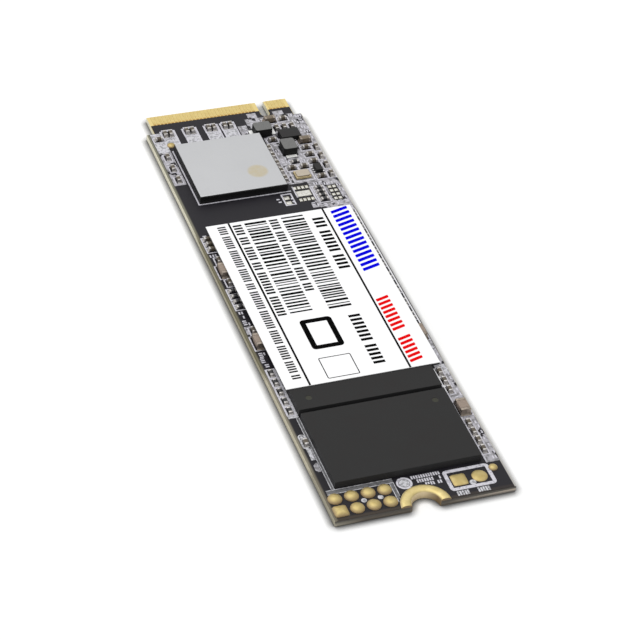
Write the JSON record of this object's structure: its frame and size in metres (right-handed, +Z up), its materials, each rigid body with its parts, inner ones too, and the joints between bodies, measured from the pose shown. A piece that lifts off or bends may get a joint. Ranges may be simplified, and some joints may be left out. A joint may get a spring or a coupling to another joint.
{
  "type": "m2 nvme ssd",
  "caption": "Flat storage card with a keyed gold edge connector, a half-round screw hole, memory chips, a metal-lidded controller and a white label.",
  "frame": {"origin": "centre of the card's underside", "axes": "+Y along the card towards the edge connector, +Z up out of the populated side"},
  "size_m": [0.022, 0.08, 0.002],
  "materials": {
    "laminate": "satin glass-fibre laminate, cut edges",
    "solder_mask": "near-black solder mask, satin",
    "gold": "gold plating, soft shine",
    "tin": "tin and solder, bright",
    "mould": "dark grey moulded package, fine matt grain",
    "lid": "nickel-plated lid, satin",
    "label": "white film with plain printed fields, satin",
    "ferrite": "grey ferrite block, matt",
    "crystal_base": "tan ceramic base",
    "crystal_can": "plated can, satin",
    "capacitor": "brown ceramic, satin",
    "resistor": "black glaze, satin"
  },
  "bodies": {
    "root": {"pcb_laminate": "laminate", "solder_mask_top": "solder_mask", "solder_mask_bottom": "solder_mask", "edge_contacts_top": "gold", "edge_contacts_bottom": "gold", "mounting_hole_plating": "gold", "test_pads": "gold", "link_pads": "gold", "probe_pads": "gold", "spare_lands": "tin", "controller_body": "mould", "controller_lid": "lid", "memory_chip_1": "mould", "memory_chip_2": "mould", "cache_chip": "mould", "label_film": "label", "inductor_cores": "ferrite", "inductor_terminals": "tin", "power_chip": "mould", "power_chip_leads": "tin", "crystal_base": "crystal_base", "crystal_can": "crystal_can", "monitor_chip": "mould", "monitor_leads": "tin", "bulk_capacitor_bodies": "capacitor", "bulk_capacitor_terminals": "tin", "medium_capacitor_bodies": "capacitor", "medium_capacitor_terminals": "tin", "small_capacitor_bodies": "capacitor", "small_capacitor_terminals": "tin", "resistor_bodies": "resistor", "resistor_terminals": "tin"}
  },
  "joints": []
}
